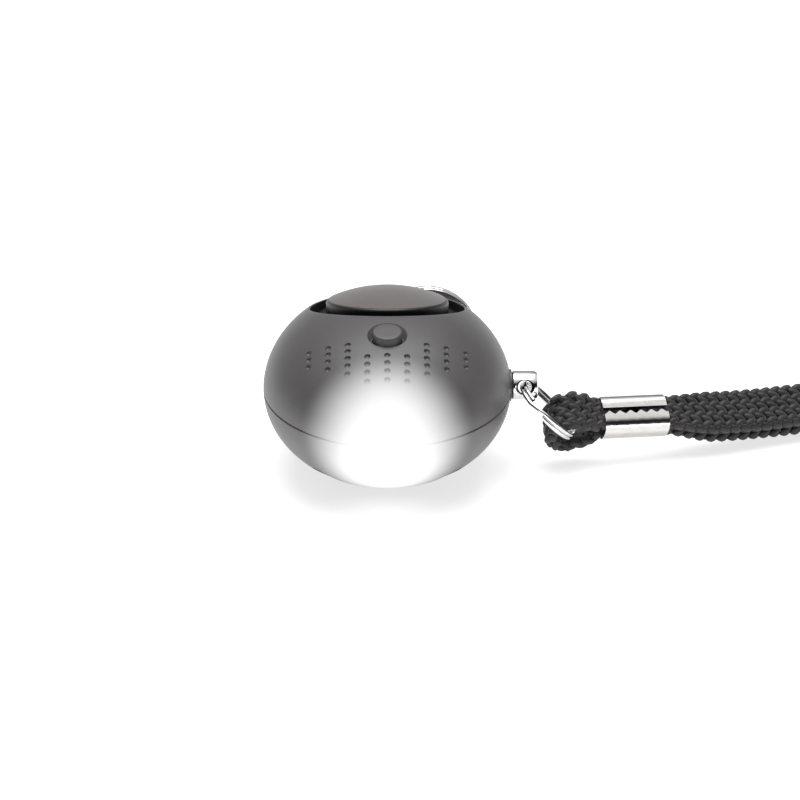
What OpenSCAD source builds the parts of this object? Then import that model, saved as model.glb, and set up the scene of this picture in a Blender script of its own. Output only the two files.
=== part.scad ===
// Egg shaped personal safety alarm with a pull pin, a wrist strap and a lamp.
// Front (lamp) is -Y, the pull pin is at +X, the foot stands on Z = 0.

/* [Body] */
// Width of the egg
body_w = 40; // [36:0.5:46]
// Length from the widest section to the lamp end
body_front = 26; // [24:0.5:30]
// Length from the widest section to the key ring end
body_back = 29; // [28:0.5:34]
// Height of the upper half above the parting line
top_h = 14.2; // [13.5:0.1:17]
// Depth of the lower half below the parting line, before the foot is cut
bottom_h = 14.2; // [13.8:0.1:17]
// How much of the lower half is cut away for the flat foot
foot_cut = 0.4; // [0.2:0.05:1]
// Wall of both shells
wall = 1.6; // [1.2:0.1:2]

/* [Sound well] */
// Width of the oval well
well_w = 25.2; // [24:0.2:27]
// Length of the oval well
well_l = 29.4; // [28:0.2:31]
// Centre of the well behind the widest section
well_y = 9.6; // [9:0.1:10.4]
// Height of the well floor above the parting line
well_floor = 6.6; // [6.2:0.1:7]
// Thickness of the floor and wall of the well
well_wall = 1.4; // [1:0.1:1.8]
// Ring gap between the cap and the well
ring_gap = 2.6; // [1.8:0.1:3.2]
// How far the cap stands above the line of the egg, or below it if negative
cap_proud = -0.3; // [-0.8:0.05:0.2]
// Space under the cap for the sound
cap_lift = 0.8; // [0.5:0.1:1.2]
// Sound port under the cap
port_d = 13; // [8:0.5:14]

/* [Lamp] */
// Diameter of the lens where it shows
lens_d = 8.8; // [7:0.1:9.4]
// Diameter of the light emitting diode
led_d = 5; // [3:0.1:5.4]
// Lamp button diameter
button_d = 4.5; // [3.6:0.1:5]
// Lamp button centre in front of the widest section
button_y = 11.5; // [10.5:0.1:12.5]
// Slope of the button face
button_slope = 12; // [0:1:16]
// Travel of the lamp button
button_travel = 0.5; // [0.3:0.05:0.6]
// Dish round the button
dish_d = 6.4; // [5.8:0.1:7.5]

/* [Pull pin] */
// Diameter of the pin head
pin_head_d = 4.7; // [4.4:0.1:5.4]
// Length of the pin head
pin_head_l = 4.2; // [3.8:0.1:5]
// Diameter of the pin shaft
pin_d = 3; // [2:0.1:3.4]
// Length of the pin shaft, without its insulating tip
pin_l = 10.6; // [9:0.1:11]
// Cross hole in the pin head
cross_hole_d = 2.2; // [2:0.1:2.4]

/* [Rings] */
// Mean diameter of the split ring on the pin
split_ring_d = 11.4; // [11:0.1:12]
// Wire of the split ring
split_wire = 0.7; // [0.5:0.05:0.8]
// Mean diameter of the key ring
key_ring_d = 16.2; // [15.8:0.1:17]
// Wire of the key ring, across the ring's face
key_wire_r = 1.6; // [1:0.1:1.8]
// Thickness of one turn of the key ring
key_wire_t = 1; // [0.6:0.1:1.1]
// Thickness of the lug for the key ring
lug_t = 2; // [1.6:0.1:2.4]
// Hole in the lug
lug_hole_d = 5.8; // [5.6:0.1:6.4]

/* [Cells] */
// Diameter of one button cell
cell_d = 11.6; // [9.5:0.1:11.6]
// Thickness of one button cell
cell_t = 5.4; // [3.6:0.1:5.4]

/* [Sounder] */
// Diameter of the brass disc
piezo_d = 19; // [15:0.5:19.5]
// Diameter of the ceramic disc
ceramic_d = 12.4; // [10:0.2:12.6]

/* [Strap] */
// Width of the knitted strap
strap_w = 7.6; // [6:0.1:8]
// Thickness of the knitted strap
strap_t = 2.4; // [1.6:0.1:2.5]
// Width of the strap where it is gathered in the eye
eye_w = 5.6; // [4:0.1:5.8]
// Length of the crimp
crimp_l = 11; // [8:0.5:11]
// Width of the crimp
crimp_w = 6.9; // [6.6:0.1:8]
// Thickness of the crimp
crimp_t = 5.3; // [5.1:0.1:6.5]
// Sheet of the crimp
crimp_sheet = 0.4; // [0.2:0.05:0.4]

/* [Hidden] */
$fn = 64;

// Reach of the cutting blocks, larger than anything on the part
far = 120;
// A cut runs this far past the face that it opens
over = 0.5;
// Running clearance on the radius of a shaft in its hole
run = 0.04;
// Clearance on the radius of a piece that is seated by hand
seat = 0.1;

half_w = body_w / 2;
part_z = bottom_h - foot_cut;
in_w = half_w - wall;
in_front = body_front - wall;
in_back = body_back - wall;
in_top = top_h - wall;
in_bottom = bottom_h - wall;

// Height of the outer skin above the parting line at a place on the centre line in front
function skin_front(y) = top_h * sqrt(1 - pow(y / body_front, 2));
// Height of the inner skin there
function inner_front(y) = in_top * sqrt(1 - pow(y / in_front, 2));
// Front end of an ellipsoid at a height z
function front_at(b, h, z) = b * sqrt(1 - pow(z / h, 2));

well_bottom = well_floor - well_wall;
cap_w = well_w - 2 * ring_gap;
cap_l = well_l - 2 * ring_gap;
cap_bottom = well_floor + cap_lift;
cap_roof = 0.8;
cap_ceiling = cap_bottom + cap_roof;
cap_wall = 1.5;
post_x = cap_w / 2 - 3.6;
post_y = cap_l / 2 - 4.6;
post_d = 3.4;
peg_d = 2.2;

board_t = 1;
board_bottom = well_bottom - 2;
board_top = board_bottom + board_t;
board_back = -3.2;
board_half_w = 14.2;
board_shoulder = -10.6;
board_nose_half_w = 6.4;
board_post = [12.4, -9.2];
board_post_d = 3;
board_peg_d = 1.6;

screw_front = [9.6, -14.2];
screw_back = [13, 12.2];
screw_places = [for (p = [screw_front, screw_back]) for (side = [-1, 1]) [side * p[0], p[1]]];
screw_d = 2;
screw_head_d = 3.8;
screw_head_h = 1.4;
screw_seat = -3;
screw_top = 3.6;
boss_d = 4.6;

lens_flange_d = lens_d + 1.4;
lens_flange_t = 0.8;
lens_front = front_at(body_front, top_h, lens_d / 2) + 0.4;
lens_crown = 1.1;
lens_back = front_at(in_front, min(in_top, in_bottom), lens_flange_d / 2) - 0.15;
reflector_front = lens_back - lens_flange_t;
reflector_l = 5.2;
reflector_t = 0.5;
led_face = reflector_front - reflector_l;
led_flange_d = led_d + 0.8;
led_flange_t = 0.8;
led_body_l = 2.2;
led_back = led_face - led_flange_t;
board_nose = -led_back + 0.15;
leg_x = 1.27;
leg_t = 0.5;
leg_y = -13.4;

switch_w = 6;
switch_h = 2.3;
switch_top = board_top + switch_h;
plunger_d = 3.3;
plunger_sunk = 0.8;
plunger_top = switch_top + 1.3;
button_flange_d = button_d + 1.3;
button_flange_t = 0.8;
button_flange_top = inner_front(button_y + button_flange_d / 2) - 0.3;
button_flange_bottom = button_flange_top - button_flange_t;
button_stem_d = 2.4;
button_face = skin_front(button_y) + 0.95;
dish_depth = 0.7;

pin_head_x = half_w;
pin_end = pin_head_x + pin_head_l;
cross_x = pin_head_x + 2.15;
cross_tilt = 12;
tip_d = pin_d - 0.6;
tip_l = 2.6;
tip_x = pin_head_x - pin_l;
collar_d = pin_head_d + 0.5;
collar_face = half_w - 0.05;
socket_side = 6;
socket_in = tip_x - 0.6;
socket_out = in_w - 0.8;
leaf_t = 0.25;
leaf_w = 3;
leaf_gap = 0.1;
leaf_in = tip_x - tip_l;
leaf_out = 12;
saddle_in = leaf_out + 0.4;
saddle_out = socket_out - 0.6;

stack_front = -cell_t * 1.5;
stack_back = cell_t * 1.5;
cell_cap_d = cell_d - 1.8;
cell_cap_t = 0.8;
tray_gap = 0.1;
tray_wall = 0.9;
tray_r = cell_d / 2 + tray_gap;
contact_t = 0.4;
contact_side = 8;
contact_tab = 2.4;
leaf_room = 2.4;
tray_front = stack_front - contact_t - tray_wall;
tray_back = stack_back + leaf_room + tray_wall;
tray_base_w = 7;

// The tray's flat base touches the inner skin of the bottom shell at its back corners
tray_seat = 0.2;
tray_base_z = tray_seat - in_bottom * sqrt(1 - pow(tray_base_w / 2 / in_w, 2) - pow(tray_back / in_back, 2));
cell_z = tray_base_z + tray_wall + tray_r;
tray_rim = cell_z + 1;

gasket_t = 0.8;
plate_t = 0.3;
ceramic_t = 0.25;
gasket_bottom = well_bottom - gasket_t;
plate_bottom = gasket_bottom - plate_t;
ceramic_bottom = plate_bottom - ceramic_t;
sounder_lip = 1;
sounder_bottom = plate_bottom - sounder_lip;
sounder_wall = 0.9;
sounder_d = piezo_d + 2 * seat + 2 * sounder_wall;
sounder_hole = piezo_d - 4;
gasket_hole = max(port_d + 1, piezo_d - 5);

coil_place = [-10.3, -6.4];
coil_d = 5;
coil_h = 5;
coil_flange_t = 0.6;
coil_winding_d = 4.2;
chip_place = [6.6, -6.4];
chip_size = [4, 5, 0.8];
chip_leg = [6, 0.4, 0.25];

lug_reach = 4;
lug_rim = 1.6;
lug_hole_y = body_back + lug_reach;
lug_w = lug_hole_d + 2 * lug_rim;
lug_ear = 1.5;
lug_root_l = 2.5;
// Where the ears of the lug touch the inner skin of the top shell
lug_root = in_back * sqrt(1 - pow((lug_w / 2 + lug_ear) / in_w, 2) - pow(lug_t / in_top, 2)) - 0.1;
lug_z = part_z + lug_t / 2;
// How far above the table the lug holds the ring
key_ring_lift = 1;
key_ring_z = key_ring_d / 2 + key_wire_r / 2 + key_ring_lift;
// Where the ring's wire crosses the hole in the lug, off its middle
key_ring_play = 0.45;
key_ring_x = key_ring_play + sqrt(pow(key_ring_d / 2, 2) - pow(lug_z - key_ring_z, 2));

// The split ring hangs from the cross hole, down and to the right
ring_dir = [0.689, -0.204, -0.695];
ring_along = [0.12, 0.978, -0.168];
// The curved wire sits this far off the middle of the straight cross hole
ring_sag = 0.25;

// Route of the eye: the middle of the strap, its roll, and its width over that in the crimp
eye_route = [
  [34.4, 0.3, 8.5, 40, 0], [32.4, -0.5, 9.3, 44, 0.6], [30, -1.4, 10, 48, 0.8], [28, -1.8, 9.7, 46, 0.8],
  [26.6, -1.6, 8.4, 36, 0.8], [26.2, -1.1, 6.8, 20, 0.2], [26.9, -0.4, 4.9, 4, -0.6], [28.6, 0.2, 3.8, -4, -1.2],
  [30.4, 0.6, 3.9, -5, -1], [32.2, 1, 4.5, 8, -0.8], [33.5, 1.4, 5.7, 24, -0.4], [34.4, 1.6, 6.9, 40, 0]];
// Route of the wrist loop: out along the lower strand, round, and back along the upper one
loop_route = [
  [45.1, 4.4, 6.2, 40], [53, 7.1, 4.7, 38], [61, 10.3, 3.9, 38], [70, 13.8, 3.5, 40],
  [82, 18, 4, 58], [95, 22.5, 4.1, 80], [112, 27.5, 4, 90], [132, 32, 4, 90], [152, 34.8, 4, 90],
  [168, 35, 4, 90], [180, 31.4, 4, 90], [187, 24, 4, 90], [187.6, 15.5, 4, 90], [181.5, 8.4, 4, 90],
  [170, 5, 4, 90], [152, 5, 4, 90], [132, 7, 4, 90], [112, 10, 4, 90], [95, 12.8, 4.3, 78],
  [82, 14.4, 5, 58], [70, 12.1, 5.5, 40], [61, 8.7, 5.9, 38], [53, 5.5, 6.7, 38], [45.1, 3.1, 7.8, 40]];
crimp_start = [34.4, 0.9, 7.7];
crimp_turn = [40, 3.6, 15.2];
crimp_round = 2.3;
route_steps = 3;
// The eye is pulled this much thinner than the loop
eye_pressed = 0.4;
gathered_steps = 3;

module at_parting() { translate([0, 0, part_z]) children(); }

// A quarter of the egg: one end of it, above the parting plane; pole turns the sphere's poles
module quarter_egg(a, b, c, side, pole = [0, 0, 0]) {
  intersection() {
    scale([a, b, c]) rotate(pole) sphere(1);
    translate([-far / 2, side > 0 ? 0 : -far, 0]) cube(far);
  }
}

// Half of the egg: a short end at the lamp and a longer one at the key ring
module half_egg(a, front, back, c, pole = [0, 0, 0]) {
  quarter_egg(a, front, c, -1, pole);
  quarter_egg(a, back, c, 1, pole);
}

module oval(w, l, h) { scale([w / 2, l / 2, 1]) cylinder(r = 1, h = h); }

module along_x(x, d, l) { translate([x, 0, 0]) rotate([0, 90, 0]) cylinder(d = d, h = l); }

module along_front(y, d, l) { translate([0, -y, 0]) rotate([-90, 0, 0]) cylinder(d = d, h = l); }

// The openings at the parting line that both shells share: lens and nose of the pin socket
module parting_openings() {
  along_front(body_front + over, lens_d + 2 * seat, body_front - lens_back + 2 * over);
  along_x(socket_out - over, collar_d + 2 * seat, far);
}

// Thin round stretches of wire through a list of points, with round corners
module lead(points, d) {
  for (i = [0 : len(points) - 2]) {
    run_vec = points[i + 1] - points[i];
    translate(points[i])
      rotate([0, acos(run_vec[2] / norm(run_vec)), atan2(run_vec[1], run_vec[0])])
        cylinder(d = d, h = norm(run_vec));
  }
  for (i = [1 : len(points) - 2]) translate(points[i]) sphere(d = d + 0.02);
}

module top_shell() {
  color("dimgray") at_parting() difference() {
    union() {
      difference() {
        half_egg(half_w, body_front, body_back, top_h);
        difference() {
          translate([0, 0, -0.01]) half_egg(in_w, in_front, in_back, in_top);
          translate([0, well_y, well_bottom]) oval(well_w + 2 * well_wall, well_l + 2 * well_wall, far);
        }
      }
      top_posts();
    }
    translate([0, well_y, well_floor]) oval(well_w, well_l, far);
    translate([0, well_y, well_bottom - over]) cylinder(d = port_d, h = far);
    cap_places() translate([0, 0, well_bottom - over]) cylinder(d = peg_d + 2 * seat, h = far);
    translate([0, -button_y, inner_front(button_y) - 3]) cylinder(d = button_d + 2 * run, h = far);
    translate([0, -button_y, skin_front(button_y) - dish_depth])
      cylinder(d1 = button_d + 0.8, d2 = dish_d + 2.2, h = 3 * dish_depth);
    for (p = screw_places) translate([p[0], p[1], -over]) cylinder(d = screw_d + 2 * run, h = screw_top + 2 * over);
    parting_openings();
    translate([-lug_w / 2 - seat, lug_root - 3 * over, -over])
      cube([lug_w + 2 * seat, far, lug_t + seat + over]);
  }
}

// Tongue that the key ring hangs on; its wide root is trapped behind the rim of the shells
module key_lug() {
  color("dimgray") at_parting() difference() {
    union() {
      translate([0, lug_hole_y, 0]) cylinder(d = lug_w, h = lug_t);
      translate([-lug_w / 2, lug_root - over, 0]) cube([lug_w, lug_hole_y - lug_root + over, lug_t]);
      translate([-lug_w / 2 - lug_ear, lug_root - lug_root_l, 0])
        cube([lug_w + 2 * lug_ear, lug_root_l, lug_t]);
    }
    translate([0, lug_hole_y, -over]) cylinder(d = lug_hole_d, h = lug_t + 2 * over);
  }
}

// Screw bosses, the two posts of the circuit board and the saddle of the pin socket
module top_posts() {
  intersection() {
    half_egg(half_w - wall / 2, body_front - wall / 2, body_back - wall / 2, top_h - wall / 2);
    union() {
      for (side = [-1, 1]) {
        translate([side * screw_front[0], screw_front[1], 0]) cylinder(d = boss_d, h = far);
        translate([side * board_post[0], board_post[1], board_top]) cylinder(d = board_post_d, h = far);
        translate([side * board_post[0], board_post[1], board_bottom - 0.4])
          cylinder(d = board_peg_d, h = far);
      }
      translate([saddle_in, -socket_side / 2, socket_side / 2])
        cube([saddle_out - saddle_in, socket_side, far]);
    }
  }
  for (side = [-1, 1]) translate([side * screw_back[0], screw_back[1], 0])
    cylinder(d = boss_d, h = well_bottom + well_wall / 2);
}

module cap_places() {
  for (x = [-post_x, post_x]) for (y = [well_y - post_y, well_y + post_y]) translate([x, y, 0]) children();
}

module bottom_shell() {
  color("dimgray") at_parting() difference() {
    union() {
      mirror([0, 0, 1]) difference() {
        half_egg(half_w, body_front, body_back, bottom_h);
        translate([0, 0, -0.01]) half_egg(in_w, in_front, in_back, in_bottom);
      }
      bottom_posts();
    }
    translate([-far / 2, -far / 2, -part_z - far]) cube(far);
    for (p = screw_places) translate([p[0], p[1], 0]) {
      translate([0, 0, screw_seat - over]) cylinder(d = screw_d + 2 * seat, h = far);
      translate([0, 0, screw_seat - far]) cylinder(d = screw_head_d + 4 * seat, h = far);
    }
    parting_openings();
  }
}

module bottom_posts() {
  intersection() {
    mirror([0, 0, 1])
      half_egg(half_w - wall / 2, body_front - wall / 2, body_back - wall / 2, bottom_h - wall / 2);
    union() {
      for (p = screw_places) translate([p[0], p[1], -far]) cylinder(d = boss_d + 1.4, h = far);
      translate([saddle_in, -socket_side / 2, -socket_side / 2 - far])
        cube([saddle_out - saddle_in, socket_side, far]);
    }
  }
}

// Lid over the well: its top follows the egg, and below it only its posts and pegs are left
module sound_cap() {
  $fn = 200;
  color("gray") at_parting() difference() {
    intersection() {
      translate([0, well_y, well_bottom]) oval(cap_w, cap_l, far);
      half_egg(half_w + cap_proud, body_front + cap_proud, body_back + cap_proud, top_h + cap_proud, [90, 0, 0]);
    }
    difference() {
      union() {
        translate([-far / 2, -far / 2, cap_bottom - far]) cube(far);
        translate([0, well_y, cap_bottom - over])
          oval(cap_w - 2 * cap_wall, cap_l - 2 * cap_wall, cap_ceiling - cap_bottom + over);
      }
      cap_places() {
        translate([0, 0, well_floor]) cylinder(d = post_d, h = far);
        translate([0, 0, -over]) cylinder(d = peg_d, h = far);
      }
    }
  }
}

module lamp_button() {
  color("dimgray") at_parting() translate([0, -button_y, 0]) {
    difference() {
      translate([0, 0, button_flange_bottom]) cylinder(d = button_d, h = far);
      translate([0, 0, button_face]) rotate([button_slope, 0, 0])
        translate([-far, -far, 0]) cube(2 * far);
    }
    translate([0, 0, button_flange_bottom]) cylinder(d = button_flange_d, h = button_flange_t);
    translate([0, 0, plunger_top]) cylinder(d = button_stem_d, h = button_flange_bottom - plunger_top + over);
  }
}

module switch_body() {
  color("black") at_parting() translate([0, -button_y, board_top]) difference() {
    translate([-switch_w / 2, -switch_w / 2, 0]) cube([switch_w, switch_w, switch_h]);
    translate([0, 0, switch_h - plunger_sunk - button_travel - 0.1]) cylinder(d = plunger_d + 2 * run, h = far);
  }
}

module switch_plunger() {
  color("saddlebrown") at_parting() translate([0, -button_y, switch_top - plunger_sunk])
    cylinder(d = plunger_d, h = plunger_top - switch_top + plunger_sunk);
}

// A turned piece about the lamp axis: profile points are [radius, distance in front]
module lamp_turned(profile) { rotate([90, 0, 0]) rotate_extrude() polygon(profile); }

module lens() {
  crown_r = (pow(lens_d / 2, 2) + pow(lens_crown, 2)) / (2 * lens_crown);
  color("white") at_parting() {
    intersection() {
      along_front(lens_front + lens_crown, lens_d, lens_front + lens_crown - lens_back);
      translate([0, crown_r - lens_front - lens_crown, 0]) sphere(crown_r);
    }
    along_front(lens_back, lens_flange_d, lens_flange_t);
  }
}

module reflector() {
  back_r = led_d / 2 + seat;
  front_r = lens_d / 2;
  color("silver") at_parting() lamp_turned([
    [back_r, led_face], [back_r + reflector_t, led_face],
    [front_r + reflector_t, reflector_front], [front_r, reflector_front]]);
}

module lamp_led() {
  color("lemonchiffon") at_parting() {
    along_front(led_face, led_flange_d, led_flange_t);
    along_front(led_face + led_body_l, led_d, led_body_l);
    translate([0, -led_face - led_body_l, 0]) intersection() {
      sphere(d = led_d);
      translate([-far / 2, -far + 0.01, -far / 2]) cube(far);
    }
    for (x = [-leg_x, leg_x]) translate([x - leg_t / 2, 0, -leg_t / 2]) {
      translate([0, -led_back - 0.1, 0]) cube([leg_t, led_back + 0.1 + leg_y + leg_t, leg_t]);
      translate([0, leg_y, 0]) cube([leg_t, leg_t, board_top + leg_t / 2]);
    }
  }
}

module pull_pin() {
  color("silver") at_parting() difference() {
    union() {
      along_x(pin_head_x, pin_head_d, pin_head_l);
      along_x(tip_x, pin_d, pin_l + over);
    }
    translate([cross_x, 0, 0]) rotate([90 - cross_tilt, 0, 0]) {
      cylinder(d = cross_hole_d, h = far, center = true);
      for (side = [-1, 1]) translate([0, 0, side * pin_head_d / 2])
        rotate([side > 0 ? 0 : 180, 0, 0]) translate([0, 0, -0.7])
          cylinder(d1 = cross_hole_d - 0.2, d2 = cross_hole_d + 1.4, h = 1.2);
    }
  }
}

module pin_tip() {
  color("black") at_parting() {
    along_x(tip_x - tip_l + tip_d / 2, tip_d, tip_l - tip_d / 2);
    translate([tip_x - tip_l + tip_d / 2, 0, 0]) sphere(d = tip_d);
  }
}

// Guide of the pull pin; its round nose passes the shells and is the boss that the head rests on
module pin_socket() {
  color("dimgray") at_parting() difference() {
    union() {
      translate([socket_in, -socket_side / 2, -socket_side / 2])
        cube([socket_out - socket_in, socket_side, socket_side]);
      along_x(socket_out - over, collar_d, collar_face - socket_out + over);
    }
    along_x(socket_in - over, pin_d + 2 * run, far);
  }
}

// Bent strip: it lies on the socket, turns down its inner end and bears on the pin's tip
module contact_leaf() {
  rest_z = tip_d / 2 + leaf_gap;
  top_z = socket_side / 2;
  translate([0, leaf_w / 2, 0]) rotate([90, 0, 0]) linear_extrude(leaf_w) polygon([
    [leaf_in, rest_z], [socket_in - leaf_t, rest_z], [socket_in, rest_z + leaf_t],
    [socket_in, top_z], [leaf_out, top_z], [leaf_out, top_z + leaf_t],
    [socket_in - leaf_t, top_z + leaf_t], [socket_in - leaf_t, rest_z + leaf_t], [leaf_in, rest_z + leaf_t]]);
}

module contact_leaf_upper() { color("gold") at_parting() contact_leaf(); }

module contact_leaf_lower() { color("gold") at_parting() mirror([0, 0, 1]) contact_leaf(); }

module at_sounder(z) { at_parting() translate([0, well_y, z]) children(); }

module piezo_plate() { color("goldenrod") at_sounder(plate_bottom) cylinder(d = piezo_d, h = plate_t); }

module piezo_ceramic() { color("whitesmoke") at_sounder(ceramic_bottom) cylinder(d = ceramic_d, h = ceramic_t); }

module sounder_ring() {
  color("black") at_sounder(sounder_bottom) difference() {
    cylinder(d = sounder_d, h = well_bottom - sounder_bottom);
    translate([0, 0, -over]) cylinder(d = sounder_hole, h = far);
    translate([0, 0, sounder_lip]) cylinder(d = piezo_d + 2 * seat, h = far);
  }
}

module sounder_gasket() {
  color("darkslategray") at_sounder(gasket_bottom) difference() {
    cylinder(d = piezo_d, h = gasket_t);
    translate([0, 0, -over]) cylinder(d = gasket_hole, h = far);
  }
}

module circuit_board() {
  color("darkgreen") at_parting() translate([0, 0, board_bottom]) difference() {
    linear_extrude(board_t) polygon([
      [-board_half_w, board_back], [-board_half_w, board_shoulder], [-board_nose_half_w, board_shoulder],
      [-board_nose_half_w, board_nose], [board_nose_half_w, board_nose],
      [board_nose_half_w, board_shoulder], [board_half_w, board_shoulder], [board_half_w, board_back]]);
    for (side = [-1, 1]) translate([side * board_post[0], board_post[1], -over])
      cylinder(d = board_peg_d + 2 * seat, h = far);
    for (x = [-leg_x, leg_x]) translate([x, leg_y + leg_t / 2, -over]) cylinder(d = 2 * leg_t, h = far);
  }
}

module driver_chip() {
  color("black") at_parting() translate([chip_place[0], chip_place[1], board_top]) {
    translate([-chip_size[0] / 2, -chip_size[1] / 2, 0.1]) cube(chip_size);
    for (i = [-1.5 : 1 : 1.5])
      translate([-chip_leg[0] / 2, i * 1.27 - chip_leg[1] / 2, 0]) cube(chip_leg);
  }
}

module step_up_coil() {
  color("sienna") at_parting() translate([coil_place[0], coil_place[1], board_bottom - coil_h]) {
    cylinder(d = coil_d, h = coil_flange_t);
    cylinder(d = coil_winding_d, h = coil_h);
    translate([0, 0, coil_h - coil_flange_t]) cylinder(d = coil_d, h = coil_flange_t);
  }
}

// Button cell number i, counted from the front; its can is behind its smaller cap
module button_cell(i) {
  color("gainsboro") at_parting() translate([0, stack_front + i * cell_t, cell_z]) rotate([-90, 0, 0]) {
    cylinder(d = cell_cap_d, h = cell_t);
    translate([0, 0, cell_cap_t]) cylinder(d = cell_d, h = cell_t - cell_cap_t);
  }
}

module cell_1() { button_cell(0); }

module cell_2() { button_cell(1); }

module cell_3() { button_cell(2); }

module cell_tray() {
  length = tray_back - tray_front;
  color("ivory") at_parting() translate([0, tray_front, 0]) difference() {
    union() {
      translate([0, 0, cell_z]) rotate([-90, 0, 0]) cylinder(r = tray_r + tray_wall, h = length);
      translate([-tray_base_w / 2, 0, tray_base_z]) cube([tray_base_w, length, tray_wall]);
    }
    translate([0, tray_wall, cell_z]) rotate([-90, 0, 0]) cylinder(r = tray_r, h = length - 2 * tray_wall);
    translate([-far / 2, -far / 2, tray_rim]) cube(far);
  }
}

// Flat front contact with a tab up to the circuit board
module cell_plate() {
  color("silver") at_parting() translate([0, stack_front - contact_t, 0]) {
    translate([-contact_side / 2, 0, cell_z - contact_side / 2]) cube([contact_side, contact_t, contact_side]);
    translate([-contact_tab / 2, 0, cell_z]) cube([contact_tab, contact_t, board_bottom - cell_z]);
  }
}

// Bent rear contact: it stands on the end wall of the tray and bears on the last cell
module cell_leaf() {
  foot = stack_back + leaf_room;
  low = cell_z - contact_side / 2;
  lead_z = tray_rim + 2.8;
  color("silver") at_parting() translate([-contact_side / 2, 0, 0]) rotate([90, 0, 90])
    linear_extrude(contact_side) polygon([
      [foot, lead_z], [foot - contact_t, lead_z], [foot - contact_t, low + 2 * contact_t],
      [stack_back + contact_t, cell_z + contact_side / 4], [stack_back, cell_z + contact_side / 4],
      [foot - contact_t, low], [foot, low]]);
}

module sounder_leads() {
  d = 0.6;
  low = sounder_bottom - d / 2 - 0.3;
  start_y = board_back - d;
  plate_x = piezo_d / 4;
  plate_y = well_y - piezo_d / 4;
  ceramic_x = ceramic_d / 3;
  ceramic_y = well_y - ceramic_d / 3.5;
  color("firebrick") at_parting() {
    lead([[plate_x, start_y, board_bottom], [plate_x, start_y, low], [plate_x, plate_y, low],
          [plate_x, plate_y, plate_bottom]], d);
    lead([[-ceramic_x, start_y, board_bottom], [-ceramic_x, start_y, low], [-ceramic_x, ceramic_y, low],
          [-ceramic_x, ceramic_y, ceramic_bottom]], d);
  }
}

module cell_lead() {
  d = 0.8;
  z = tray_rim + 2.4;
  y = stack_back + leaf_room - contact_t - d / 2;
  x = -tray_r - tray_wall - d;
  start_y = board_back - d / 2;
  color("black") at_parting() lead([[0, y, z], [x, y, z], [x, start_y, z], [x, start_y, board_bottom]], d);
}

module case_screws() {
  color("silver") at_parting() for (p = screw_places) translate([p[0], p[1], screw_seat]) difference() {
    union() {
      translate([0, 0, -screw_head_h]) cylinder(d = screw_head_d, h = screw_head_h);
      cylinder(d = screw_d, h = screw_top - screw_seat);
    }
    for (turn = [0, 90]) rotate([0, 0, turn])
      translate([-screw_head_d / 3, -0.25, -screw_head_h - over]) cube([screw_head_d / 1.5, 0.5, 0.7 + over]);
  }
}

// Two turns of flat wire side by side, standing on edge behind the body
module key_ring() {
  color("silver") translate([key_ring_x, lug_hole_y, key_ring_z]) rotate([90, 0, 0])
    rotate_extrude($fn = 96) translate([key_ring_d / 2, 0]) for (side = [-1, 1])
      translate([-key_wire_r / 2, side > 0 ? 0 : -key_wire_t]) square([key_wire_r, key_wire_t]);
}

// Turns a ring that lies flat so that it runs through the pin's cross hole
module hung_ring(reach) {
  normal = cross(ring_dir, ring_along);
  centre = [cross_x, 0, part_z] + reach * ring_dir;
  translate(centre) multmatrix([
    [ring_dir[0], ring_along[0], normal[0], 0],
    [ring_dir[1], ring_along[1], normal[1], 0],
    [ring_dir[2], ring_along[2], normal[2], 0]]) children();
}

module split_ring() {
  color("silver") hung_ring(split_ring_d / 2 - ring_sag) rotate_extrude($fn = 96) translate([split_ring_d / 2, 0])
    for (side = [-1, 1]) translate([0, side * split_wire * 0.48]) circle(d = split_wire, $fn = 24);
}

// Smooth curve through hand picked points: Catmull and Rom's spline on each stretch
function spline(a, b, c, d, t) = 0.5 * (2 * b + (c - a) * t + (2 * a - 5 * b + 4 * c - d) * t * t
  + (3 * b - a - 3 * c + d) * t * t * t);
function smooth_route(p, steps) = let (n = len(p)) [
  for (i = [0 : n - 2]) for (k = [0 : steps - 1])
    spline(p[max(i - 1, 0)], p[i], p[i + 1], p[min(i + 2, n - 1)], k / steps),
  p[n - 1]];
function unit(v) = v / norm(v);
function place(p) = [p[0], p[1], p[2]];
// Corners of the strap's section, as shares of its half width and half thickness
strap_section = [[1, 0.45], [0.82, 1], [-0.82, 1], [-1, 0.45], [-1, -0.45], [-0.82, -1], [0.82, -1], [1, -0.45]];

// One ring of the swept strap at point i: the width leans by the route's roll
function strap_ring(route, i, w, t) = let (
  n = len(route),
  along = unit(place(route[min(i + 1, n - 1)]) - place(route[max(i - 1, 0)])),
  lean = [0, cos(route[i][3]), sin(route[i][3])],
  across = unit(lean - (lean * along) * along),
  out = cross(along, across))
  [for (c = strap_section) place(route[i]) + across * c[0] * w / 2 + out * c[1] * t / 2];

// The strap as one closed solid along its route, with a width for each ring
module strap_sweep(route, widths, t) {
  n = len(route);
  m = len(strap_section);
  points = [for (i = [0 : n - 1]) each strap_ring(route, i, widths[i], t)];
  sides = [for (i = [0 : n - 2]) for (j = [0 : m - 1]) let (k = (j + 1) % m)
    each [[i * m + j, (i + 1) * m + j, (i + 1) * m + k], [i * m + j, (i + 1) * m + k, i * m + k]]];
  first = [for (j = [1 : m - 2]) [0, j, j + 1]];
  last = [for (j = [1 : m - 2]) [(n - 1) * m, (n - 1) * m + j + 1, (n - 1) * m + j]];
  polyhedron(points = points, faces = concat(first, sides, last));
}

module strap_eye() {
  route = smooth_route(eye_route, route_steps);
  color("black") strap_sweep(route, [for (p = route) eye_w + p[4]], strap_t - eye_pressed);
}

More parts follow.
